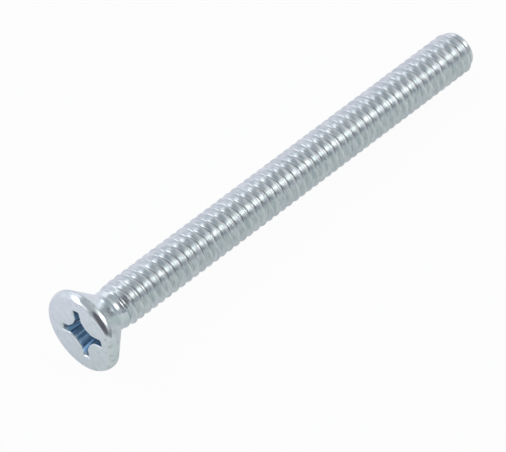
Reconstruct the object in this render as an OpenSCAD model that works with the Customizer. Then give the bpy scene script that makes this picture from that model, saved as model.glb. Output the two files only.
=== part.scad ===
// Countersunk machine screw with a cross recess, lying on a flat surface.
// It rests on the swelling rim of its head and on the last full thread near its tip.
// All lengths are in millimetres and all angles in degrees.

/* [Head] */
// Diameter of the head across its rim
head_d = 11.9; // [9:0.1:16]
// Radius of the arc in which the rim swells
crown_r = 1.45; // [1.3:0.05:3]
// Depth of the widest point of the rim below the face
crown_s = 1.0; // [0.7:0.05:1.2]
// Distance from there down to the corner that the rim and the cone would make
rim_drop = 0.3; // [0.2:0.05:0.4]
// Rounding where the flat face turns into the rim
face_round = 0.16; // [0.1:0.02:0.5]
// Rounding where the rim turns into the countersunk cone
rim_round = 0.25; // [0.1:0.05:0.4]
// Full angle of the countersunk cone
sink_angle = 82; // [78:1:120]

/* [Shank] */
// Length of the whole screw from the face of the head to the tip
screw_l = 73.3; // [25:0.1:110]
// Diameter of the bare neck between the cone and the thread
neck_d = 5.7; // [4.5:0.05:7.5]
// Diameter of the flat end of the tip
tip_d = 5.2; // [3.5:0.1:6]
// Length of the taper down to the tip
tip_l = 1.0; // [0.3:0.1:2.5]

/* [Thread] */
// Outside diameter of the thread
thread_d = 6.3; // [5:0.05:8]
// Distance from one thread to the next
thread_pitch = 1.27; // [0.8:0.01:2]
// Full angle between the two flanks of the groove
thread_angle = 60; // [50:1:70]
// Width of the flat along the crest
crest_w = 0.19; // [0.05:0.01:0.4]
// Width of the flat along the bottom of the groove
root_w = 0.21; // [0.05:0.01:0.4]
// Length over which the groove deepens below the head
run_in_l = 2.6; // [1:0.1:6]
// Length over which the groove fades out at the tip
fade_l = 1.6; // [0.5:0.1:4]
// Turn of the thread from its last touch of the surface to the start of the tip
thread_turn = 275; // [0:5:275]

/* [Cross recess] */
// Distance across the wings at the face of the head
recess_d = 7.6; // [5:0.1:8]
// Depth of the wings below the face
recess_depth = 3.7; // [2:0.1:4.4]
// Lean of the outer ends of the wings, measured from the axis
wing_lean = 26.5; // [15:0.5:28]
// Width of one wing at the face
wing_w = 1.15; // [0.6:0.05:1.5]
// Distance between two opposite corners of the core at the face
core_d = 3.44; // [2.4:0.02:4.5]
// Angle of each of those corners
core_angle = 156; // [110:1:170]
// Lean of those corners, measured from the axis
core_lean = 5.75; // [0:0.25:8]
// Slope of the conical bottom below the wings
bottom_slope = 20; // [5:1:35]
// Turn of the recess about the axis of the screw
recess_turn = 73.7; // [0:0.1:90]
// Distance by which the punch struck above the axis, with the screw lying down
recess_up = 0.13; // [-0.4:0.01:0.4]
// Distance by which it struck to the right of the axis, seen from the head
recess_right = 0.3; // [-0.4:0.01:0.4]

/* [Hidden] */
$fn = 96;
zinc = [0.79, 0.80, 0.83];

// Radii of the parts turned about the axis
head_r = head_d / 2;
neck_r = neck_d / 2;
tip_r = tip_d / 2;
crest_r = thread_d / 2;

// The cone runs from the corner below the rim down to the neck
sink_half = sink_angle / 2;
rim_h = crown_s + rim_drop;
neck_s = rim_h + (head_r - neck_r) / tan(sink_half);
// The cone goes on inside the shank until it is this much thinner than the groove
core_margin = 0.4;

// Centres of the three arcs of the rim, as radii and distances from the face
// Each arc touches the next one, the face and the cone without a kink
crown_mid = [head_r - crown_r, crown_s];
face_reach = sqrt(pow(crown_r - face_round, 2) - pow(crown_s - face_round, 2));
face_mid = [crown_mid.x + face_reach, face_round];
cone_out = [cos(sink_half), sin(sink_half)];
cone_down = [-sin(sink_half), cos(sink_half)];
corner_mid = [head_r, rim_h] - rim_round * cone_out - crown_mid;
corner_along = corner_mid * cone_down;
corner_off = corner_mid * cone_out;
corner_slide = -corner_along - sqrt(pow(crown_r - rim_round, 2) - pow(corner_off, 2));
rim_mid = crown_mid + corner_mid + corner_slide * cone_down;
face_turn = atan2(face_mid.y - crown_mid.y, face_mid.x - crown_mid.x);
rim_turn = atan2(rim_mid.y - crown_mid.y, rim_mid.x - crown_mid.x);

// Outline of one thread, as distances along the axis and radii
flank_w = (thread_pitch - crest_w - root_w) / 2;
thread_depth = flank_w / tan(thread_angle / 2);
root_r = crest_r - thread_depth;
crest_end = root_w + flank_w + crest_w;
thread_outline = [
    [0, root_r],
    [root_w, root_r],
    [root_w + flank_w, crest_r],
    [crest_end, crest_r]
];
corners = len(thread_outline);

// Each turn has as many steps as keep the whole thread under the face limit
face_limit = 11200;
thread_turns = (screw_l - neck_s) / thread_pitch;
turn_steps = 2 * max(6, min(12, floor(face_limit / (4 * corners * thread_turns))));

// The last full crest on the underside is the thread that touches the surface
tip_s = screw_l - tip_l;
contact_s = tip_s - thread_pitch * thread_turn / 360;
contact_step = floor((contact_s - crest_end - neck_s) * turn_steps / thread_pitch);
thread_s = contact_s - crest_end - contact_step * thread_pitch / turn_steps;
thread_a = -360 * contact_step / turn_steps;
// The groove stops this short of the end
end_gap = 0.06;
last_step = floor((screw_l - end_gap - thread_s - crest_end) * turn_steps / thread_pitch);
// The shank starts this deep inside the cone
shank_bury = thread_pitch / 2;

// Lying down: one line touches the arc of the rim and the last crest
rest_run = contact_s - crown_s;
rest_rise = crown_mid.x - crest_r;
rest_tilt = atan2(rest_rise, rest_run) + asin(crown_r / norm([rest_run, rest_rise]));
face_z = crown_r + crown_s * sin(rest_tilt) + crown_mid.x * cos(rest_tilt);
low_x = face_round * (cos(rest_tilt) - 1) - face_mid.x * sin(rest_tilt);
high_x = screw_l * cos(rest_tilt) + tip_r * sin(rest_tilt);

// Share of the full groove depth at a distance s from the face
function rise(s, start, length) = min(1, max(0, (s - start) / length));
function ease(t) = t * t * (3 - 2 * t);
function groove_share(s) =
    ease(rise(s, neck_s, run_in_l)) * rise(screw_l - s, end_gap, fade_l);

// Radius of the shank over its crests at a distance s from the face
function outer_r(s) =
    neck_r + (crest_r - neck_r) * ease(rise(s, neck_s, run_in_l))
    - (crest_r - tip_r) * rise(s, tip_s, tip_l);

function on_shank(s, r, a) = [r * cos(a), r * sin(a), s];
function thread_point(step, corner) =
    let (
        s = thread_s + step * thread_pitch / turn_steps + thread_outline[corner][0],
        cut = (crest_r - thread_outline[corner][1]) * groove_share(s)
    )
    on_shank(s, outer_r(s) - cut, thread_a + 360 * step / turn_steps);

// Number of a thread point in the list; one corner past the last is a turn further on
function at(step, corner) =
    corner < corners ? step * corners + corner : (step + turn_steps) * corners;
ring_a = (last_step + 1) * corners;
ring_b = ring_a + turn_steps;
function start_ring(step) = ring_a + step % turn_steps;
function end_ring(step) = ring_b + step % turn_steps;

// Two triangles of a four-sided face, given clockwise as seen from outside
function split(a, b, c, d) = [[a, b, c], [a, c, d]];

function on_arc(middle, radius, turn) = middle + radius * [cos(turn), sin(turn)];

// A slice of a disc between two directions
module slice(middle, radius, from, to) {
    intersection() {
        translate(middle) circle(radius);
        polygon([middle, on_arc(middle, 2 * radius, from), on_arc(middle, 2 * radius, to)]);
    }
}

// The head: face, rim, cone and roundings in one outline, turned about the axis
module head() {
    inner_r = root_r - core_margin;
    inner_s = neck_s + (neck_r - inner_r) / tan(sink_half);
    rotate_extrude() {
        polygon([
            [0, 0],
            [face_mid.x, 0],
            on_arc(face_mid, face_round, face_turn),
            on_arc(rim_mid, rim_round, rim_turn),
            on_arc(rim_mid, rim_round, sink_half),
            [inner_r, inner_s],
            [0, inner_s]
        ]);
        slice(face_mid, face_round, -90, face_turn);
        slice(crown_mid, crown_r, face_turn, rim_turn);
        slice(rim_mid, rim_round, rim_turn, sink_half);
    }
}

// The shank: neck, thread and tip as one closed skin that follows the helix
module shank() {
    first = last_step - turn_steps;
    points = concat(
        [for (step = [0:last_step], corner = [0:corners - 1]) thread_point(step, corner)],
        [for (step = [0:turn_steps - 1])
            on_shank(neck_s - shank_bury, neck_r, thread_a + 360 * step / turn_steps)],
        [for (step = [0:turn_steps - 1])
            on_shank(screw_l, tip_r, thread_a + 360 * step / turn_steps)]
    );
    skin = [
        for (step = [0:last_step - 1], corner = [0:corners - 1])
            if (corner < corners - 1 || step < first)
                each split(at(step, corner), at(step, corner + 1),
                    at(step + 1, corner + 1), at(step + 1, corner))
    ];
    start_strip = [
        for (step = [0:turn_steps - 2])
            each split(start_ring(step), at(step, 0), at(step + 1, 0), start_ring(step + 1))
    ];
    start_seam = concat(
        split(at(turn_steps - 1, 0), at(0, 0), start_ring(0), start_ring(turn_steps - 1)),
        [for (corner = [0:corners - 1])
            [at(turn_steps - 1, 0), at(0, corner + 1), at(0, corner)]]
    );
    end_strip = [
        for (step = [first + 1:last_step - 1])
            each split(at(step, corners - 1), end_ring(step),
                end_ring(step + 1), at(step + 1, corners - 1))
    ];
    hinge = at(first + 1, corners - 1);
    end_seam = concat(
        [[hinge, at(first, corners - 1), at(last_step, 0)]],
        [for (corner = [0:corners - 2])
            [hinge, at(last_step, corner), at(last_step, corner + 1)]],
        split(hinge, at(last_step, corners - 1), end_ring(last_step), end_ring(first + 1))
    );
    caps = [
        [for (step = [0:turn_steps - 1]) start_ring(step)],
        [for (step = [turn_steps - 1:-1:0]) end_ring(step)]
    ];
    polyhedron(points, concat(skin, start_strip, start_seam, end_strip, end_seam, caps),
        convexity = 10);
}

// One flute of the punch that forms the recess: it leaves a corner of the core standing
module flute() {
    reach = head_d;
    core_r = core_d / 2;
    half = core_angle / 2;
    // Where the slope from the corner meets the side of the wing
    side = (core_r - wing_w / sqrt(2)) / (sin(half) - cos(half));
    bend = [core_r + side * cos(half), side * sin(half)];
    translate([core_r, 0, 0]) rotate([0, -core_lean, 0]) translate([-core_r, 0, -reach / 2])
        linear_extrude(reach)
            polygon([
                [core_r, 0],
                bend,
                bend + [reach, reach],
                [bend.x + reach, -bend.y - reach],
                [bend.x, -bend.y]
            ]);
}

// The cross recess: a cone with a blunt bottom, less four flutes
module recess() {
    above = 0.5;
    recess_r = recess_d / 2;
    bottom_r = recess_r - recess_depth * tan(wing_lean);
    translate([-recess_up, -recess_right, 0]) rotate(recess_turn) difference() {
        rotate_extrude()
            polygon([
                [0, -above],
                [recess_r + above * tan(wing_lean), -above],
                [bottom_r, recess_depth],
                [0, recess_depth + bottom_r * tan(bottom_slope)]
            ]);
        for (corner_a = [45:90:315]) rotate(corner_a) flute();
    }
}

module screw() {
    color(zinc)
        translate([-(low_x + high_x) / 2, 0, face_z]) rotate([0, 90 + rest_tilt, 0])
            difference() {
                union() {
                    head();
                    shank();
                }
                recess();
            }
}

screw();
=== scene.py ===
# %% [markdown]
# # A zinc plated countersunk screw
# The object is one piece of steel: a head that was struck cold, a cross recess that was
# punched into it, and a thread that was rolled between two dies. It lies on a pale table, on
# the rim of its head and on the last full thread near its tip. The cells below build it the
# way a modeller would: the head is turned from a profile, the recess is drawn down from its
# face, and the thread grows out of one short profile with the Screw modifier.

# %% Load the packed model
import math
import bmesh
import bpy
import numpy as np
from mathutils import Matrix, Vector


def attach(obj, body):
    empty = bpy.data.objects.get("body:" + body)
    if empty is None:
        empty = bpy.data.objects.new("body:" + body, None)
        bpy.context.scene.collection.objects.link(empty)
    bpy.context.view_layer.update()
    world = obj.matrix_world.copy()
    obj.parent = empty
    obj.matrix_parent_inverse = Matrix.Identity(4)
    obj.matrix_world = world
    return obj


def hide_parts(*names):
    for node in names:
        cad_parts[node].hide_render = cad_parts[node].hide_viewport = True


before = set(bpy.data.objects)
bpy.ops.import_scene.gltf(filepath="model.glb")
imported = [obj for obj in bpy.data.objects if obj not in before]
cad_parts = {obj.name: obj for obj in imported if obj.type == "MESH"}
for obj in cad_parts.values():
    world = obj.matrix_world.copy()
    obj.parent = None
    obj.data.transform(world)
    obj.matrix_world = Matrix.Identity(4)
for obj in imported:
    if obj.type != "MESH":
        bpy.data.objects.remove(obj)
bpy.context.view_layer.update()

# %% [markdown]
# ## Sizes
# The screw is described along its own axis: `s` is the distance from the face of the head, and
# a radius is measured from the axis. The values are those of the solid that it stands for, so
# the finished mesh falls exactly where that solid lies.

# %% Driving sizes, in metres
MM = 0.001
STEPS = 96                      # points in one turn, for the thread and the head alike
# The head: radius, cone, and the arc of the rim, which is widest at CROWN_S
HEAD_R = 5.95 * MM
RIM_H = 1.3 * MM
CROWN_R = 1.45 * MM
CROWN_S = 1.0 * MM
FACE_ROUND = 0.16 * MM
RIM_ROUND = 0.25 * MM
SINK_HALF = math.radians(41)
# The shank: its length, its neck below the head, and the short taper of its tip
SCREW_L = 73.3 * MM
NECK_R = 2.85 * MM
TIP_R = 2.6 * MM
TIP_L = 1.0 * MM
# The thread: its flats at crest and root, and its flanks
CREST_R = 3.15 * MM
PITCH = 1.27 * MM
CREST_W = 0.19 * MM
ROOT_W = 0.21 * MM
FLANK_W = (PITCH - CREST_W - ROOT_W) / 2
THREAD_DEPTH = FLANK_W / math.tan(math.radians(30))
# Where the last full crest points, seen along the axis
THREAD_TURN = math.radians(275)
print("thread depth %.3f mm" % (THREAD_DEPTH / MM))

# %% [markdown]
# ## How it lies
# A screw on a table touches it at two places only. The rim of the head isn't straight: it
# swells in a flat arc, which is widest 1 mm below the face. The tilt follows from the line that
# touches this arc and the last full crest, and the height from that tilt. It could be turned
# by eye until it seems to touch, but sums put it exactly on the table.
# One matrix then takes any point from the axis of the screw to its place on the table.

# %% Resting place
neck_s = RIM_H + (HEAD_R - NECK_R) / math.tan(SINK_HALF)
crown_centre_r = HEAD_R - CROWN_R
face_arc_r = crown_centre_r + math.sqrt((CROWN_R - FACE_ROUND) ** 2 - (CROWN_S - FACE_ROUND) ** 2)
tip_s = SCREW_L - TIP_L
contact_s = tip_s - PITCH * THREAD_TURN / math.tau
rest_run = contact_s - CROWN_S
rest_rise = crown_centre_r - CREST_R
tilt = math.atan2(rest_rise, rest_run) + math.asin(CROWN_R / math.hypot(rest_run, rest_rise))
face_z = CROWN_R + CROWN_S * math.sin(tilt) + crown_centre_r * math.cos(tilt)
# The ends of the lying screw along X, whose middle is the origin
low_x = FACE_ROUND * (math.cos(tilt) - 1) - face_arc_r * math.sin(tilt)
high_x = SCREW_L * math.cos(tilt) + TIP_R * math.sin(tilt)
lie_down = (Matrix.Translation((-(low_x + high_x) / 2, 0, face_z))
            @ Matrix.Rotation(math.pi / 2 + tilt, 4, "Y"))
print("the axis dips %.2f degrees, face centre at %.2f mm" % (math.degrees(tilt), face_z / MM))

# %% [markdown]
# ## The camera
# The photograph looks down on the screw from the head's end with a long lens. The camera is
# placed from the spot where the centre of the face should appear, its distance and the two
# angles of the view. It has no roll, so the table stays level.

# %% Camera
PHOTO_W, PHOTO_H = 506, 452
FOCAL_PX = 3829.8
FACE_PX = (79.04, 334.34)
FACE_AWAY = 0.4889
VIEW_AZIMUTH = math.radians(-46.45)
VIEW_HEIGHT = math.radians(48.94)

back = Vector((math.sin(VIEW_AZIMUTH) * math.cos(VIEW_HEIGHT),
               -math.cos(VIEW_AZIMUTH) * math.cos(VIEW_HEIGHT), math.sin(VIEW_HEIGHT)))
right = Vector((math.cos(VIEW_AZIMUTH), math.sin(VIEW_AZIMUTH), 0))
up = back.cross(right)
across = (FACE_PX[0] - PHOTO_W / 2) / FOCAL_PX * FACE_AWAY
down = (FACE_PX[1] - PHOTO_H / 2) / FOCAL_PX * FACE_AWAY
face_centre = lie_down @ Vector((0, 0, 0))
camera_data = bpy.data.cameras.new("camera")
camera_data.sensor_fit = "HORIZONTAL"
camera_data.sensor_width = 36
camera_data.lens = FOCAL_PX * camera_data.sensor_width / PHOTO_W
camera_data.clip_start = 0.01
camera_data.clip_end = 50
camera = bpy.data.objects.new("camera", camera_data)
bpy.context.collection.objects.link(camera)
camera.matrix_world = Matrix((right, up, back)).transposed().to_4x4()
camera.location = face_centre - across * right + down * up + FACE_AWAY * back
bpy.context.scene.camera = camera
print("camera at", [round(v, 3) for v in camera.location], "lens", round(camera_data.lens, 1))

# %% [markdown]
# ## Working by hand in code
# Small helpers stand for what a modeller does all the time: go into edit mode on one object
# only, come back, and weld points that lie together. A drawn line starts as a plane that is
# merged into one point, and each next point is extruded from the last. Where many points move
# by a sum, they are read and set as one array, which is far quicker than one by one.

# %% Editing helpers
WELD_GAP = 1e-6


def start_editing(piece):
    """Makes a piece the only one that is selected, and opens it in edit mode."""
    for other in bpy.context.selected_objects:
        other.select_set(False)
    bpy.context.view_layer.objects.active = piece
    piece.select_set(True)
    bpy.ops.object.mode_set(mode="EDIT")


def stop_editing():
    """Goes back to object mode and returns the piece."""
    bpy.ops.object.mode_set(mode="OBJECT")
    return bpy.context.view_layer.objects.active


def weld(gap):
    """Selects the whole open mesh and merges the points that lie closer than the gap."""
    bpy.ops.mesh.select_all(action="SELECT")
    bpy.ops.mesh.remove_doubles(threshold=gap)


def draw_line(name, points):
    """A line of edges in the XZ plane, from (radius, s) points."""
    bpy.ops.object.select_all(action="DESELECT")
    bpy.ops.mesh.primitive_plane_add(size=MM, location=(0, 0, 0))
    line = bpy.context.object
    line.name = line.data.name = name
    start_editing(line)
    bpy.ops.mesh.select_all(action="SELECT")
    bpy.ops.mesh.merge(type="CENTER")
    bpy.ops.transform.translate(value=(points[0][0], 0, points[0][1]))
    last = Vector((points[0][0], 0, points[0][1]))
    for radius, s in points[1:]:
        spot = Vector((radius, 0, s))
        bpy.ops.mesh.extrude_vertices_move(TRANSFORM_OT_translate={"value": tuple(spot - last)})
        last = spot
    return stop_editing()


def coords(piece):
    """All points of a mesh as rows of an array."""
    flat = np.empty(len(piece.data.vertices) * 3)
    piece.data.vertices.foreach_get("co", flat)
    return flat.reshape(-1, 3)


def set_coords(piece, spots):
    """Puts rows of an array back as the points of a mesh."""
    piece.data.vertices.foreach_set("co", np.asarray(spots).ravel())
    piece.data.update()


print("points closer than", WELD_GAP / MM, "mm are welded")

# %% [markdown]
# ## The thread
# A rolled thread has 60 degree flanks, a narrow flat crest whose edges are a little soft, and
# a rounded root. A bump pattern could draw the grooves, but the outline of the screw would
# stay smooth, and this outline shows every turn. So the thread is real geometry. One pitch of
# it is drawn as a line, with a short curve at each corner.

# %% One pitch of thread
CREST_EDGE = 0.052 * MM
ROOT_ROUND = 0.085 * MM
CORNER_STEPS = 2
SAME_SPOT = 1e-9
TURNS_BELOW = 2


def soften(points, reach_at, steps):
    """Replaces each inner corner by a short curve; its reach depends on the corner's depth."""
    result = [points[0]]
    for before, corner, after in zip(points, points[1:], points[2:]):
        a, b, c = Vector(before), Vector(corner), Vector(after)
        reach = reach_at[corner[1]]
        first = b + (a - b).normalized() * min(reach, (a - b).length / 2)
        last = b + (c - b).normalized() * min(reach, (c - b).length / 2)
        for i in range(steps + 1):
            t = i / steps
            result.append(tuple(first * (1 - t) ** 2 + b * 2 * t * (1 - t) + last * t ** 2))
    return result + [points[-1]]


# From root to root: distance along the axis and depth below the crest
outline = [
    (0, THREAD_DEPTH),
    (ROOT_W, THREAD_DEPTH),
    (ROOT_W + FLANK_W, 0),
    (ROOT_W + FLANK_W + CREST_W, 0),
    (PITCH, THREAD_DEPTH),
]
# A crest of the next turn on either side gives the corners at both ends their neighbours
closed = [(outline[3][0] - PITCH, 0)] + outline + [(outline[2][0] + PITCH, 0)]
rounded = soften(closed, {0: CREST_EDGE, THREAD_DEPTH: ROOT_ROUND}, CORNER_STEPS)
one_pitch = [p for p in rounded if -SAME_SPOT <= p[0] < PITCH - SAME_SPOT]
one_pitch = sorted(set((round(along, 9), round(depth, 9)) for along, depth in one_pitch))
profile = one_pitch + [(one_pitch[0][0] + PITCH, one_pitch[0][1])]
start_s = neck_s - TURNS_BELOW * PITCH
shank = draw_line("shank", [(CREST_R - depth, start_s + along) for along, depth in profile])
print("points in one pitch:", len(one_pitch))

# %% [markdown]
# The Screw modifier sweeps the line round the axis while it climbs by one pitch a turn. Each
# turn then ends where the next begins, so the turns weld into one skin. There are a few turns
# too many, which the next step uses up.

# %% Sweep it into a helix
TURN_GAP = 1e-7
turns = math.ceil((SCREW_L - neck_s) / PITCH) + TURNS_BELOW + 1
sweep = shank.modifiers.new("sweep", "SCREW")
sweep.axis = "Z"
sweep.angle = math.tau
sweep.steps = sweep.render_steps = STEPS
sweep.screw_offset = PITCH
sweep.iterations = turns
sweep.use_merge_vertices = True
sweep.merge_threshold = TURN_GAP
sweep.use_normal_calculate = True
bpy.ops.object.modifier_apply(modifier="sweep")
print("swept", len(shank.data.vertices), "vertices,", len(shank.data.polygons), "faces")

# %% [markdown]
# The dies don't bite at full depth at once. Below the head the groove deepens over two turns
# while the metal swells from the neck up to the crest, and at the tip the last turn fades
# into a short taper. Each point is moved to or from the axis by how far along it lies. What
# sticks out past either end is pushed back to it, where its points fall together and weld,
# so both ends finish as a clean ring. Cutting the ends off with a Boolean would leave the
# half turns there as sharp slivers.

# %% Shape the ends of the thread
NECK_RING_L = 0.22 * MM
RUN_IN_L = 2.6 * MM
FADE_L = 1.6 * MM
END_GAP = 0.06 * MM
SNAP = 0.004 * MM


def rise(value, start, length):
    """A straight ramp from 0 at the start to 1 a length further on."""
    return np.clip((value - start) / length, 0, 1)


def ease(share):
    """Rounds off both ends of a ramp."""
    return share * share * (3 - 2 * share)


neck_end = neck_s + NECK_RING_L
spots = coords(shank)
radii = np.hypot(spots[:, 0], spots[:, 1])
angles = np.arctan2(spots[:, 1], spots[:, 0])
heights = np.clip(spots[:, 2], neck_end, SCREW_L)
heights[heights < neck_end + SNAP] = neck_end
heights[heights > SCREW_L - SNAP] = SCREW_L
swell = ease(rise(heights, neck_end, RUN_IN_L))
groove = swell * rise(SCREW_L - heights, END_GAP, FADE_L)
taper = (CREST_R - TIP_R) * rise(heights, tip_s, TIP_L)
outer = NECK_R + (CREST_R - NECK_R) * swell - taper
shaped = outer - (CREST_R - radii) * groove
# The bottom line of the lying screw has to meet the end of the last full crest
crest_end = ROOT_W + FLANK_W + CREST_W
phase = -math.tau * ((contact_s - crest_end - start_s) / PITCH)
phase = math.tau / STEPS * round(phase / math.tau * STEPS)
angles = angles + phase
set_coords(shank, np.c_[shaped * np.cos(angles), shaped * np.sin(angles), heights])
start_editing(shank)
weld(WELD_GAP)
stop_editing()
print("shank:", len(shank.data.vertices), "vertices after welding")

# %% [markdown]
# ## The head
# The outside of the head is a turned shape, and half of its outline is drawn from the face
# over its small edge, the swelling rim and the 82 degree cone into the neck. A cylinder with
# bevels would be quicker, but a bevel can't swell in a wide arc. Here each arc starts where
# the one before it ends, with the same slope, so the light runs over them without a break.

# %% Half the outline of the head
NECK_FILLET = 0.5 * MM
FACE_RING_R = 4.9 * MM
FACE_RING_W = 0.4 * MM


def arc(centre, radius, start, end, count):
    """Points of an arc in (radius, s), with angles in degrees from the radial direction."""
    bends = [math.radians(start + (end - start) * i / count) for i in range(count + 1)]
    return [(centre[0] + radius * math.cos(a), centre[1] + radius * math.sin(a)) for a in bends]


half_deg = math.degrees(SINK_HALF)
cone_out = Vector((math.cos(SINK_HALF), math.sin(SINK_HALF)))
cone_down = Vector((-math.sin(SINK_HALF), math.cos(SINK_HALF)))
crown_centre = Vector((crown_centre_r, CROWN_S))
face_arc = Vector((face_arc_r, FACE_ROUND))
face_turn = math.degrees(math.atan2(face_arc.y - CROWN_S, face_arc.x - crown_centre_r))
# The rounding below the rim touches the crown from inside, and the cone
inner = Vector((HEAD_R, RIM_H)) - cone_out * RIM_ROUND - crown_centre
along = inner.dot(cone_down)
slide = -along - math.sqrt(along ** 2 - inner.length_squared + (CROWN_R - RIM_ROUND) ** 2)
rim_arc = crown_centre + inner + cone_down * slide
rim_turn = math.degrees(math.atan2(rim_arc.y - CROWN_S, rim_arc.x - crown_centre_r))
cone_top = rim_arc + cone_out * RIM_ROUND
fillet_reach = NECK_FILLET * math.tan(SINK_HALF / 2)
fillet_centre = (NECK_R + NECK_FILLET, neck_s + fillet_reach)
cone_end = Vector((NECK_R, neck_s)) - cone_down * fillet_reach

half_outline = [(FACE_RING_R, 0), (FACE_RING_R + FACE_RING_W, 0)]
half_outline += arc(face_arc, FACE_ROUND, -90, face_turn, count=5)
half_outline += arc(crown_centre, CROWN_R, face_turn, rim_turn, count=10)[1:]
half_outline += arc(rim_arc, RIM_ROUND, rim_turn, half_deg, count=4)[1:]
half_outline += [tuple(cone_top.lerp(cone_end, t)) for t in (0.25, 0.5, 0.75)]
half_outline += arc(fillet_centre, NECK_FILLET, 180 + half_deg, 180, count=5)
half_outline += [(NECK_R, neck_end)]
print("neck from", round(half_outline[-2][1] / MM, 3), "to", round(neck_end / MM, 3), "mm")

# %% [markdown]
# The outline is spun once round the axis, as on a lathe. The spin has as many steps as the
# thread, so the neck of one falls on the ring of the other.

# %% Turn the head
head = draw_line("head", half_outline)
start_editing(head)
bpy.ops.mesh.select_all(action="SELECT")
bpy.ops.mesh.spin(steps=STEPS, angle=math.tau, center=(0, 0, 0), axis=(0, 0, 1))
weld(WELD_GAP)
stop_editing()
print("head:", len(head.data.vertices), "vertices")

# %% [markdown]
# ## The cross recess
# The recess is the print of a punch: a cone that leans in by 26.5 degrees, with four flutes
# ground into it. A section through it at any depth is a cross with a wide core. A Boolean
# with such a punch would cut it in one step, but it leaves long thin faces that catch the
# light badly. So the corners of a section are worked out for one half of one wing and
# mirrored round. Every section has as many points as a ring of the head, and the wall can be
# drawn down in rings.

# %% Sizes of the punch
RECESS_R = 3.8 * MM
RECESS_DEPTH = 3.7 * MM
WING_LEAN = math.radians(26.5)
WING_W = 1.15 * MM
CORE_R = 1.72 * MM
FACET_TURN = math.radians(33)
CORE_LEAN = math.radians(5.75)
BOTTOM_SLOPE = math.radians(20)
RECESS_TURN = math.radians(73.7)
OFF_CENTRE = complex(-0.13, -0.3) * MM
# How far the soft edges reach to either side of a corner
MOUTH_ROUND = 0.18 * MM
WING_SOFT = 0.07 * MM
BEND_SOFT = 0.12 * MM
CORE_SOFT = 0.2 * MM
# Shares of a length: the soft end of a wing, the nearest place of its bend, steps of its arc
END_SHARE = 0.3
BEND_SHARE = 0.25
ARC_SHARES = (0, 0.34, 0.68, 1)
print("wings are %.2f mm across at the floor" % (
    2 * (RECESS_R - RECESS_DEPTH * math.tan(WING_LEAN)) / MM))


# %% Half a wing of the cross
def walk(path, distance):
    """The point at a distance along a line of points."""
    for a, b in zip(path, path[1:]):
        stretch = math.dist(a, b)
        if distance <= stretch:
            return tuple(p + (q - p) * distance / stretch for p, q in zip(a, b))
        distance -= stretch
    return path[-1]


def soft_corner(before, corner, after):
    """The middle of the short curve that replaces a corner."""
    return tuple((p + 2 * c + q) / 4 for p, c, q in zip(before, corner, after))


def half_wing(depth):
    """From the middle of a wing's end to the corner of the core, in the wing's own axes."""
    shift = depth * math.tan(CORE_LEAN) / math.sqrt(2)
    side = WING_W / 2 - shift
    core = (CORE_R / math.sqrt(2) - shift,) * 2
    bend = (core[0] + (core[1] - side) / math.tan(FACET_TURN), side)
    end_r = RECESS_R - depth * math.tan(WING_LEAN)
    if end_r > math.hypot(*bend):
        corner = (math.sqrt(end_r ** 2 - side ** 2), side)
        path = [corner, bend, core]
        to_bend = math.dist(corner, bend)
    else:
        # The cone has cut past the side of the wing: its end meets the slope of the core
        slope = (math.cos(FACET_TURN), -math.sin(FACET_TURN))
        b = core[0] * slope[0] + core[1] * slope[1]
        t = -b + math.sqrt(b * b - core[0] ** 2 - core[1] ** 2 + end_r ** 2)
        corner = (core[0] + t * slope[0], core[1] + t * slope[1])
        path = [corner, core]
        to_bend = 0
    length = sum(math.dist(a, b) for a, b in zip(path, path[1:]))
    bend_at = max(to_bend, BEND_SHARE * length)
    turn = math.atan2(corner[1], corner[0])
    near = min(WING_SOFT, END_SHARE * end_r * turn)
    points = [(end_r * math.cos(a), end_r * math.sin(a))
              for a in ((turn - near / end_r) * t for t in ARC_SHARES)]
    after = walk(path, near)
    points += [soft_corner(points[-1], corner, after), after]
    bend_from, bend_to, core_from = bend_at - BEND_SOFT, bend_at + BEND_SOFT, length - CORE_SOFT
    points += [walk(path, (near + bend_from) / 2), walk(path, bend_from), walk(path, bend_to)]
    points += [walk(path, bend_to + (core_from - bend_to) * t) for t in (1 / 3, 2 / 3, 1)]
    last = points[-1]
    return points + [soft_corner(last, core, last[::-1])]


print("points in half a wing:", len(half_wing(0)))


# %% A whole section
def section(depth, spread=0):
    """All points of the recess at a depth, spread outwards by a distance, as x + iy."""
    half = half_wing(depth)
    quarter = half + [(y, x) for x, y in half[-2:0:-1]]
    cross = [complex(x, y) * 1j ** q for q in range(4) for x, y in quarter]
    cross = np.array(cross) * complex(math.cos(RECESS_TURN), math.sin(RECESS_TURN))
    tangent = np.roll(cross, -1) - np.roll(cross, 1)
    return cross + OFF_CENTRE - 1j * tangent / abs(tangent) * spread


print("points in a section:", len(section(0)))

# %% [markdown]
# The face is a ring of edges that is extruded inwards again and again. Each new ring is set
# to the next section: first from the round of the head to the mouth of the cross, then over
# the soft edge that the punch leaves, down the walls, and across the blunt bottom to one
# point. The punch also lifts a faint lip round the ends of the wings.

# %% The rings from the face down to the floor
LIP_H = 0.02 * MM
LIP_REACH = 0.55 * MM
LIP_LEAST = 0.3
WING_FOCUS = 8
FACE_SHARES = (0.2, 0.4, 0.58, 0.74, 0.87, 0.95)
MOUTH_DEGREES = (0, 22.5, 45, 67.5, 90)
WALL_DEPTHS = (0.3, 0.6, 0.95, 1.35, 1.8, 2.25, 2.7, 3.1, 3.45, 3.7)
FLOOR_SHARES = (0.94, 0.7, 0.4, 0.15)

round_ring = FACE_RING_R * np.exp(1j * (RECESS_TURN + math.tau * np.arange(STEPS) / STEPS))
mouth = section(0, MOUTH_ROUND)
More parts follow.
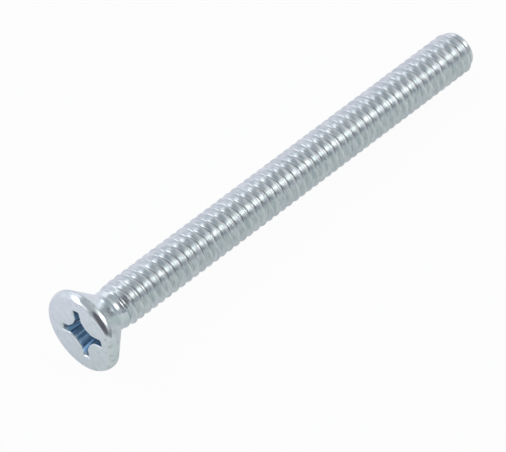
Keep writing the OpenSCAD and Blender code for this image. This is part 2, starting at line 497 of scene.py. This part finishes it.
# The lip is highest at the four wings and never quite gone between them
lip_share = LIP_LEAST + np.cos(2 * (np.angle(round_ring) - RECESS_TURN)) ** WING_FOCUS
rings = []
for share in FACE_SHARES:
    flat = round_ring + (mouth - round_ring) * share
    lip = LIP_H * np.exp(-(abs(flat - mouth) / LIP_REACH) ** 2) * lip_share
    rings.append((flat, -lip))
for degrees in MOUTH_DEGREES:
    turned = math.radians(degrees)
    depth = MOUTH_ROUND * (1 - math.cos(turned))
    lip = LIP_H * lip_share * (1 - degrees / 90)
    rings.append((section(depth, MOUTH_ROUND * (1 - math.sin(turned))), depth - lip))
for depth in WALL_DEPTHS:
    rings.append((section(depth * MM), np.full(STEPS, depth * MM)))
floor_r = RECESS_R - RECESS_DEPTH * math.tan(WING_LEAN)
for share in FLOOR_SHARES:
    flat = (section(RECESS_DEPTH) - OFF_CENTRE) * share
    deeper = (floor_r - abs(flat)) * math.tan(BOTTOM_SLOPE)
    rings.append((flat + OFF_CENTRE, RECESS_DEPTH + deeper))
print("rings:", len(rings), "down to %.2f mm" % (rings[-1][1].max() / MM))


# %% Draw the face and the recess
def next_ring(piece, ring, spots):
    """Extrudes the selected ring of edges and sets the new points, given as (x, y, s)."""
    start_editing(piece)
    bpy.ops.mesh.select_mode(type="EDGE")
    bpy.ops.mesh.extrude_edges_move()
    stop_editing()
    fresh = {tuple(v.co): v.index for v in piece.data.vertices if v.select}
    new_ring = [fresh[tuple(piece.data.vertices[i].co)] for i in ring]
    for i, spot in zip(new_ring, spots):
        piece.data.vertices[i].co = spot
    return new_ring


bpy.ops.object.select_all(action="DESELECT")
bpy.ops.mesh.primitive_circle_add(vertices=STEPS, radius=FACE_RING_R, fill_type="NOTHING")
recess = bpy.context.object
recess.name = recess.data.name = "recess"
start_editing(recess)
bpy.ops.mesh.select_all(action="SELECT")
stop_editing()
ring = [min(recess.data.vertices, key=lambda v: abs(complex(v.co.x, v.co.y) - spot)).index
        for spot in round_ring]
for flat, depths in rings:
    ring = next_ring(recess, ring, np.c_[flat.real, flat.imag, depths])
start_editing(recess)
bpy.ops.mesh.merge(type="CENTER")
stop_editing()
print("recess:", len(recess.data.vertices), "vertices")

# %% [markdown]
# ## One skin
# Head, recess and shank are joined and their shared rings weld, so the screw is one closed
# skin as the real one is. The blank was cropped at the tip, which leaves a shallow dish in
# its end. It is filled with one face, two insets that go down a little make the dish, and a
# poke gives it a middle.

# %% Join and close
RING_GAP = 3e-7
DISH_DEPTH = 0.06 * MM
DISH_RINGS = (0.5 * MM, 0.7 * MM)
bpy.ops.object.select_all(action="DESELECT")
for piece in (head, recess, shank):
    piece.select_set(True)
bpy.context.view_layer.objects.active = head
bpy.ops.object.join()
screw = head
screw.name = screw.data.name = "zinc_screw"
start_editing(screw)
weld(RING_GAP)
bpy.ops.mesh.select_mode(type="EDGE")
bpy.ops.mesh.select_all(action="DESELECT")
bpy.ops.mesh.select_non_manifold(use_non_contiguous=False)
print("edges round the open tip:", bpy.context.object.data.total_edge_sel)
bpy.ops.mesh.edge_face_add()
for width in DISH_RINGS:
    bpy.ops.mesh.inset(thickness=width, depth=-DISH_DEPTH / len(DISH_RINGS))
bpy.ops.mesh.poke()
bpy.ops.mesh.select_all(action="SELECT")
bpy.ops.mesh.normals_make_consistent(inside=False)
stop_editing()

# %% [markdown]
# The flanks and the face should look flat and the small roundings soft. Smooth shading alone
# would bend the light over the flats, so a Weighted Normal modifier lets each large face keep
# its own direction. The faces are too small in metres for it to weigh them, so the screw is
# 1000 times as big while it works. Then it is laid down on the table, in its mesh and not
# with its object, which stays at the origin.

# %% Shade it and lay it down
SHARP_FROM = math.radians(40)
screw.data.transform(Matrix.Scale(1 / MM, 4))
bpy.ops.object.shade_smooth_by_angle(angle=SHARP_FROM)
weigh = screw.modifiers.new("flat flanks", "WEIGHTED_NORMAL")
weigh.keep_sharp = True
bpy.ops.object.modifier_apply(modifier="flat flanks")
screw.data.transform(lie_down @ Matrix.Scale(MM, 4))
test = bmesh.new()
test.from_mesh(screw.data)
print("open or odd edges:", sum(not e.is_manifold or not e.is_contiguous for e in test.edges))
print("volume in cubic mm:", round(test.calc_volume(signed=True) / MM ** 3, 1))
test.free()
print("triangles:", sum(len(p.vertices) - 2 for p in screw.data.polygons))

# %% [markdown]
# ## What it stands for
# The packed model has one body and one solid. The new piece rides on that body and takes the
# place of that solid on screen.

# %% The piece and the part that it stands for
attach(screw, "root")
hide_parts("screw")
print("the mesh reaches", [round(v / MM, 2) for v in screw.dimensions], "mm")

# %% [markdown]
# ## Writing shader maths as Python
# A socket is wrapped in a small class, so that an expression such as `1 - mask * 0.5` adds the
# Math nodes by itself. Every other node comes from one method, which sets the node's settings
# first and then its sockets. The same nodes could be placed by hand in the editor, but a sum
# is easier to read than a web of links.


# %% Node helpers
class Value:
    """A socket that Python can calculate with."""

    def __init__(self, nodes, socket):
        self.nodes, self.socket = nodes, socket

    def math(self, operation, *others):
        """A Math node on this value and others."""
        return self.nodes.add("ShaderNodeMath", {"operation": operation}, [self, *others])

    def __add__(self, other):
        return self.math("ADD", other)

    def __sub__(self, other):
        return self.math("SUBTRACT", other)

    def __mul__(self, other):
        return self.math("MULTIPLY", other)

    def __truediv__(self, other):
        return self.math("DIVIDE", other)

    def __rsub__(self, other):
        return (self * -1).math("ADD", other)

    __radd__ = __add__
    __rmul__ = __mul__

    def clamped(self):
        """The value, kept between 0 and 1."""
        return self.math("MINIMUM", 1).math("MAXIMUM", 0)


class Nodes:
    """Adds nodes to one material or world."""

    def __init__(self, owner):
        owner.use_nodes = True
        self.tree = owner.node_tree

    def add(self, kind, settings=None, sockets=None, output=0):
        """Any node: its settings first, then its sockets by name or in their order."""
        node = self.tree.nodes.new(kind)
        for name, value in (settings or {}).items():
            setattr(node, name, value)
        by_number = isinstance(sockets, (list, tuple))
        pairs = enumerate(sockets) if by_number else (sockets or {}).items()
        for key, value in pairs:
            self.set(node.inputs[key], value)
        return Value(self, node.outputs[output])

    def set(self, socket, value):
        """Links a value to a socket, or writes a plain number or colour on it."""
        if isinstance(value, Value):
            self.tree.links.new(value.socket, socket)
        else:
            socket.default_value = value

    def mix(self, factor, first, second):
        """The first colour where the factor is 0, the second where it is 1."""
        node = self.tree.nodes.new("ShaderNodeMix")
        node.data_type = "RGBA"
        self.set(node.inputs["Factor"], factor)
        self.set(node.inputs["A"], first)
        self.set(node.inputs["B"], second)
        return Value(self, node.outputs["Result"])

    def dot(self, vector, direction):
        """How far a vector goes along a direction."""
        return self.add("ShaderNodeVectorMath", {"operation": "DOT_PRODUCT"},
                        [vector, direction], output="Value")

    def axis(self, vector, name):
        """One of the three numbers of a vector."""
        return self.add("ShaderNodeSeparateXYZ", sockets=[vector], output=name)


def smooth(share):
    """Rounds off both ends of a ramp from 0 to 1."""
    return share * share * (3 - 2 * share)


print("node helpers:", [name for name in vars(Nodes) if not name.startswith("_")])

# %% [markdown]
# ## Bright zinc
# The plating is a thin bright metal with a faint blue and lavender cast. What makes it look
# real is how unevenly it reflects. The struck head is nearly a mirror with a slight mottle,
# and its rim is worn in spots. The rolled thread has fine drag lines that run with the helix,
# so they smear a reflection along the screw and keep it sharp across it. The bottom of the
# groove holds a thin dark line of painted shade. In the recess the colour is bluer and darker,
# partly the plating's blue cast and partly painted shade. A painted image could show all this,
# but a pattern that is worked out from the place of each point needs no unwrapping. So the
# material first works out where a point lies on the screw, in mm along its axis and from it.

# %% Where a point lies on the screw
metal = bpy.data.materials.new("zinc_plate")
zinc = Nodes(metal)
own = zinc.add("ShaderNodeMapping", {"vector_type": "TEXTURE"}, {
    "Vector": zinc.add("ShaderNodeTexCoord", output="Object"),
    "Location": lie_down.to_translation(),
    "Rotation": lie_down.to_euler(),
    "Scale": (MM, MM, MM)})
x, y, s = [zinc.axis(own, name) for name in "XYZ"]
r = (x * x + y * y).math("SQRT")
turn = (y * -1).math("ARCTAN2", x * -1) / math.tau
# `climb` stays the same along the helix, and `thread_phase` is 0.5 on a crest
climb = s - turn * (PITCH / MM)
crest_at = (contact_s - CREST_W / 2) / MM
thread_phase = ((climb - crest_at) / (PITCH / MM)).math("FRACT")
print("nodes for the place:", len(zinc.tree.nodes))

# %% [markdown]
# Four zones follow from the place: the rolled thread, the painted shade line at its root, the
# walls of the recess, and the rim where wear can show. Each is a mask from 0 to 1 with soft
# edges, so one material covers the whole skin without a seam. The thread's zone stops just
# before the flat end of the tip, which was cropped and not rolled.

# %% Zones
THREAD_STARTS = (5.4, 7.2)
THREAD_ENDS = (SCREW_L / MM - 0.4, SCREW_L / MM - 0.15)
ROOT_SHADE_LINE = (0.86, 0.96)
RECESS_WALL = (4.3, 4.8)
RECESS_MOUTH = (0.12, 0.6)
RIM_INSIDE = (4.2, 5.4)
RIM_BELOW = (1.6, 2.4)


def step(value, limits):
    """0 where the value is below the first limit, 1 above the second, soft between them."""
    low, high = limits
    return smooth(((value - low) / (high - low)).clamped())


on_thread = step(s, THREAD_STARTS) * (1 - step(s, THREAD_ENDS))
off_crest = (thread_phase - 0.5).math("ABSOLUTE") * 2
# Painted shade: the bottom of the groove is darkened where the next turn shades it
root_painted_shade = step(off_crest, ROOT_SHADE_LINE) * on_thread
# The recess narrows as it goes down, so the depth counts against the radius
in_recess = (1 - step(r + s * 0.5, RECESS_WALL)) * step(s, RECESS_MOUTH)
on_rim = step(r, RIM_INSIDE) * (1 - step(s, RIM_BELOW))
print("nodes with the zones:", len(zinc.tree.nodes))

# %% [markdown]
# The drag lines are one noise, squeezed along the helix until each grain is a long thin line.
# They are far finer than a pixel of the photograph, so there they show as a smear. Broader
# bands of the same kind tint the flanks. The mottle of the head and the spots of wear are
# plain noises of the size that the photograph shows.

# %% Patterns
LINE_W = 0.035
BAND_W = 0.16
WEAR_FROM = (0.55, 0.68)


def noise(place, scale, detail, roughness=0.5):
    """A soft random pattern from 0 to 1 whose grains are about 1/scale across."""
    return zinc.add("ShaderNodeTexNoise", sockets={
        "Vector": place, "Scale": scale, "Detail": detail, "Roughness": roughness})


def along_helix(width, per_turn, outward):
    """Coordinates in which a grain of a noise is as wide as given and runs with the thread."""
    return zinc.add("ShaderNodeCombineXYZ", sockets=[climb / width, turn * per_turn, r * outward])


lines = noise(along_helix(LINE_W, per_turn=6, outward=0.6), scale=1.0, detail=1.0)
bands = noise(along_helix(BAND_W, per_turn=9, outward=0.5), scale=1.0, detail=2.0)
mottle = noise(own, scale=0.9, detail=3.0, roughness=0.6)
grain = noise(own, scale=5.0, detail=2.0)
worn = step(noise(own, scale=1.2, detail=4.0, roughness=0.7), WEAR_FROM) * on_rim
print("nodes with the patterns:", len(zinc.tree.nodes))

# %% [markdown]
# Each zone has a pale and a deep colour with its pattern between them, and the masks lay one
# zone over the next. The same patterns drive the roughness and a relief of at most a few
# hundredths of a millimetre. All of it is metal, so that is one number on the shader.

# %% Colour, gloss and relief of the zinc
PLATE_DEEP, PLATE_PALE = (0.77, 0.835, 0.855, 1), (0.9, 0.95, 0.955, 1)
ROLLED_PALE, ROLLED_DEEP = (0.9, 0.925, 0.93, 1), (0.7, 0.75, 0.77, 1)
# The recess colours are darker than the plate: partly the plating's blue cast, partly painted shade
RECESS_SHADE_DEEP, RECESS_SHADE_PALE = (0.47, 0.63, 0.78, 1), (0.67, 0.77, 0.85, 1)
WORN_GREY = (0.3, 0.28, 0.3, 1)
# A grey of painted shade for the bottom of the thread's groove
ROOT_SHADE_GREY = (0.26, 0.3, 0.31, 1)
WORN_SHARE = 0.45
ROOT_SHADE_SHARE = 0.5


def contrast(pattern, gain, less):
    """Stretches the middle of a pattern over the whole range from 0 to 1."""
    return (pattern * gain - less).clamped()


plate = zinc.mix(contrast(mottle, gain=2.4, less=0.7), PLATE_DEEP, PLATE_PALE)
worn_plate = zinc.mix(worn * WORN_SHARE, plate, WORN_GREY)
rolled = zinc.mix(contrast(bands, gain=3, less=1), ROLLED_PALE, ROLLED_DEEP)
skin = zinc.mix(on_thread, worn_plate, rolled)
# Lays the painted shade line along the root of the thread
outside = zinc.mix(root_painted_shade * ROOT_SHADE_SHARE, skin, ROOT_SHADE_GREY)
# Painted shade in the recess, over a bluer cast of the plating
recess_blue_and_shade = zinc.mix(contrast(grain, gain=2.4, less=0.7), RECESS_SHADE_DEEP, RECESS_SHADE_PALE)
# The roughness of the plate and what each zone adds to it, then the relief in mm
gloss = 0.13 + mottle * 0.06 + on_thread * 0.05 + in_recess * 0.08
rolled_relief = (lines * 0.02 + bands * 0.01) * on_thread
struck_relief = grain * (1 - on_thread) * (0.0025 + in_recess * 0.004)
bump = zinc.add("ShaderNodeBump", sockets={
    "Strength": 1.0, "Distance": MM, "Height": rolled_relief + struck_relief})

shader = zinc.tree.nodes["Principled BSDF"]
zinc.set(shader.inputs["Base Color"], zinc.mix(in_recess, outside, recess_blue_and_shade))
zinc.set(shader.inputs["Metallic"], 1)
zinc.set(shader.inputs["Roughness"], gloss)
zinc.set(shader.inputs["Normal"], bump)
screw.data.materials.clear()
screw.data.materials.append(metal)
print("nodes in the zinc:", len(zinc.tree.nodes))

# %% [markdown]
# ## The studio
# Bright metal shows its surroundings, so the room matters more than the lamps. The screw lay
# on a white sheet under two soft boxes, one on the left and a little behind it and one on the
# right, with the dark side of the room behind the camera.
#
# The sheet is white to the camera and keeps a faint shadow, because a little of its colour is
# lit paper. In a reflection it shows a painted glow that is darker than white, with painted
# shade on its near side, which is darker and greener than its far side.

# %% Table
TABLE_W = 3
PAPER = (0.9, 0.9, 0.9, 1)
WHITE = (1, 1, 1, 1)
# Painted glow for reflections: painted shade on the near side, paler on the far side
NEAR_PAINTED_SHADE, FAR_PAINTED_GLOW = (0.56, 0.64, 0.605, 1), (0.88, 0.88, 1, 1)
TINTS_MEET = 60
WHITE_TO_CAMERA = 0.95
WHITE_IN_GLOSS = 0.45
bpy.ops.object.select_all(action="DESELECT")
bpy.ops.mesh.primitive_plane_add(size=TABLE_W)
table = bpy.context.object
table.name = "table"
sheet = bpy.data.materials.new("white_sheet")
backdrop = Nodes(sheet)
backdrop.tree.nodes.clear()
is_camera, is_glossy, is_transmission = [
    backdrop.add("ShaderNodeLightPath", output=name)
    for name in ("Is Camera Ray", "Is Glossy Ray", "Is Transmission Ray")]
far_side = backdrop.axis(backdrop.add("ShaderNodeTexCoord", output="Object"), "Y") * TINTS_MEET + 0.5
# Painted shade near the screw and a paler painted glow farther off, seen only in reflections
painted_shade_gradient = backdrop.mix(far_side.clamped(), NEAR_PAINTED_SHADE, FAR_PAINTED_GLOW)
glow = backdrop.add("ShaderNodeEmission", sockets={
    "Color": backdrop.mix(is_camera, painted_shade_gradient, WHITE), "Strength": 1.0})
paper = backdrop.add("ShaderNodeBsdfDiffuse", sockets={"Color": PAPER})
seen = is_camera * WHITE_TO_CAMERA + (is_glossy + is_transmission) * WHITE_IN_GLOSS
surface = backdrop.add("ShaderNodeMixShader", sockets=[seen.clamped(), paper, glow])
backdrop.set(backdrop.tree.nodes.new("ShaderNodeOutputMaterial").inputs["Surface"], surface)
table.data.materials.append(sheet)
print("nodes in the sheet:", len(backdrop.tree.nodes))

# %% [markdown]
# The room could be a photograph wrapped round the scene, but a script without images paints
# it: soft ovals of light and dark are laid one over the other on a grey world. Their places
# were read from the highlights on the rim and the shank, where each slope mirrors one
# direction.

# %% Room
ROOM_GREY = (0.41, 0.435, 0.47, 1)
TWIN_FADE = 8
# Azimuth, height, reach sideways and upwards in degrees, share of the soft edge, colour
ROOM = [
    (92, 14, 68, 44, 0.8, (0.76, 0.79, 0.88)),        # the pale wall behind, on the left
    (148, 52, 20, 16, 0.9, (0.9, 0.92, 0.96)),        # a glow high on the left
    (66, 30, 24, 20, 0.8, (0.92, 0.93, 1)),           # a glow behind
    (-165, 12, 36, 24, 0.7, (0.90, 0.92, 0.95)),      # the wall on the left of the camera
    (-95, 2, 60, 16, 0.7, (0.69, 0.73, 0.76)),        # the low light on the right of the camera
    (-5, 52, 40, 22, 0.9, (0.50, 0.535, 0.56)),       # the dim stretch on the right, behind
    (-50, 48, 40, 26, 0.9, (0.88, 0.9, 0.89)),        # the light round the right soft box
    (-78, 12, 26, 10, 0.8, (0.23, 0.25, 0.28)),       # the dark below that soft box
    (-112, 46, 30, 40, 0.45, (0.13, 0.12, 0.145)),    # the dark side behind the camera
]


def direction(azimuth, height):
    """A unit vector from compass angles in degrees: 0 is +X, 90 is +Y."""
    a, e = math.radians(azimuth), math.radians(height)
    return Vector((math.cos(a) * math.cos(e), math.sin(a) * math.cos(e), math.sin(e)))


world = bpy.data.worlds.new("studio")
bpy.context.scene.world = world
sky = Nodes(world)
way = sky.add("ShaderNodeTexCoord", output="Generated")


def patch(room, azimuth, height, reach, reach_up, edge, colour):
    """Lays a soft oval of a colour over the room."""
    front = direction(azimuth, height)
    side = direction(azimuth + 90, 0)
    across = sky.dot(way, side) / math.sin(math.radians(reach))
    upward = sky.dot(way, front.cross(side)) / math.sin(math.radians(reach_up))
    inside = smooth(((1 - across * across - upward * upward) / edge).clamped())
    # An oval has a twin on the far side of the sky, which this takes away
    inside = inside * (sky.dot(way, front) * TWIN_FADE).clamped()
    return sky.mix(inside, room, (*colour, 1))


room = ROOM_GREY
for oval in ROOM:
    room = patch(room, *oval)
sky.set(sky.tree.nodes["Background"].inputs["Color"], room)
print("nodes in the room:", len(sky.tree.nodes))

# %% [markdown]
# The soft boxes are area lamps. A lamp's energy is given for its whole area, so it is worked
# out from how bright its front should look, which is what the metal mirrors.


# %% Soft boxes
def soft_box(name, azimuth, height, away, size_x, size_y, radiance, painted_shade_gradient):
    """An area lamp that faces the screw; its radiance is what a mirror would show of it."""
    light = bpy.data.lights.new(name, "AREA")
    light.shape = "RECTANGLE"
    light.size, light.size_y = size_x, size_y
    light.energy = radiance * math.pi * size_x * size_y
    light.color = painted_shade_gradient
    lamp = bpy.data.objects.new(name, light)
    bpy.context.collection.objects.link(lamp)
    lamp.location = direction(azimuth, height) * away
    lamp.rotation_euler = direction(azimuth, height).to_track_quat("Z", "Y").to_euler()
    print(name, "at", [round(v, 2) for v in lamp.location], "gives", round(light.energy, 2), "W")


soft_box("soft_box_right", azimuth=-49, height=46, away=0.9, size_x=0.48, size_y=0.34,
         radiance=1.56, painted_shade_gradient=(0.985, 1.0, 0.975))
soft_box("soft_box_back", azimuth=113, height=43, away=0.9, size_x=0.68, size_y=0.36,
         radiance=1.4, painted_shade_gradient=(0.97, 0.98, 1.0))

# %% [markdown]
# ## The view
# The Standard view shows a colour about as it is written.

# %% View
bpy.context.scene.view_settings.view_transform = "Standard"
